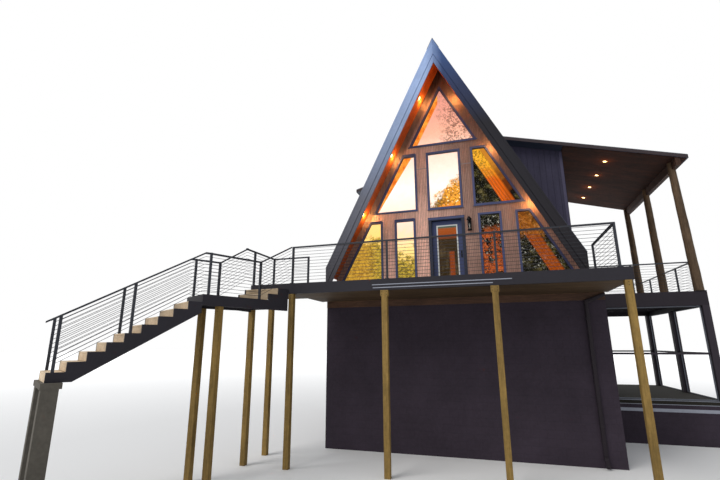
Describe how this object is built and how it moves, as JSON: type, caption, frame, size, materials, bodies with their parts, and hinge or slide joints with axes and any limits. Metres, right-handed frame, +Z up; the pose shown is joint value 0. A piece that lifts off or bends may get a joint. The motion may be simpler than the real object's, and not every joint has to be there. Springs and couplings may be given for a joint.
{
  "type": "a-frame cabin",
  "caption": "A-frame cabin on a block basement, with a steep metal roof, shed dormers, raised front deck, covered side porch and angled stair.",
  "frame": {"origin": "on the ridge line in plan, at the outer face of the front gable wall, on the lowest ground under the basement's front wall", "axes": "X to the right along the front, Y into the house, Z up"},
  "size_m": [14.8589, 16.5444, 11.9763],
  "materials": {
    "block": "painted matte",
    "floor_timber": "stained",
    "siding": "stained, fine upright grooves",
    "trim": "satin",
    "glass": "clear, reflective",
    "door_trim": "painted satin",
    "door_paint": "painted satin",
    "door_glass": "frosted",
    "black_metal": "satin",
    "roof_metal": "satin",
    "cedar": "clear stained",
    "lamp": "lit",
    "dormer_siding": "painted matte",
    "ceiling_timber": "stained",
    "log": "clear stained",
    "deck_rim": "painted matte",
    "deck_timber": "weathered",
    "post_timber": "clear stained",
    "rail_metal": "satin",
    "concrete": "broom finished",
    "dark_timber": "painted matte",
    "stair_timber": "sealed"
  },
  "bodies": {
    "house": {"basement_front_wall": "block", "basement_side_walls": "block", "basement_back_wall": "block", "main_floor": "floor_timber", "floor_ledger": "floor_timber", "gable_wall_left": "siding", "gable_wall_right": "siding", "gable_wall_over_door": "siding", "rear_gable_wall": "siding", "window_frames": "trim", "window_glass": "glass", "door_frame": "door_trim", "wall_lantern": "black_metal", "roof_left": "roof_metal", "roof_right": "roof_metal", "ridge_cap": "roof_metal", "barge_boards": "trim", "overhang_lining": "cedar", "roof_foot_plates": "floor_timber", "recessed_lights": "lamp", "dormer_end_walls": "dormer_siding", "dormer_side_walls": "dormer_siding", "shed_roofs": "roof_metal", "porch_ceiling": "ceiling_timber", "porch_beam": "ceiling_timber", "porch_logs": "log", "front_deck_frames": "deck_rim", "side_deck_frame": "deck_rim", "deck_soffit": "ceiling_timber", "deck_boards": "deck_timber", "deck_posts": "post_timber", "front_rails": "rail_metal", "deck_side_rails": "rail_metal", "side_deck_rails": "rail_metal", "lower_porch_slab": "concrete", "lower_porch_footing": "block", "lower_porch_posts": "dark_timber", "lower_porch_rails": "dark_timber", "stair_stringers": "deck_rim", "stair_treads": "stair_timber", "stair_rails": "rail_metal", "stair_foot_piers": "concrete", "downspout": "rail_metal"},
    "door": {"front_door": "door_paint", "door_glass": "door_glass", "door_handle": "black_metal"}
  },
  "joints": [
    {"name": "door_hinge", "type": "hinge", "parent": "house", "child": "door", "pos_m": [-0.46, 0.158, 5.548], "axis": [0, 0, 1], "range_deg": [0, 100]}
  ]
}
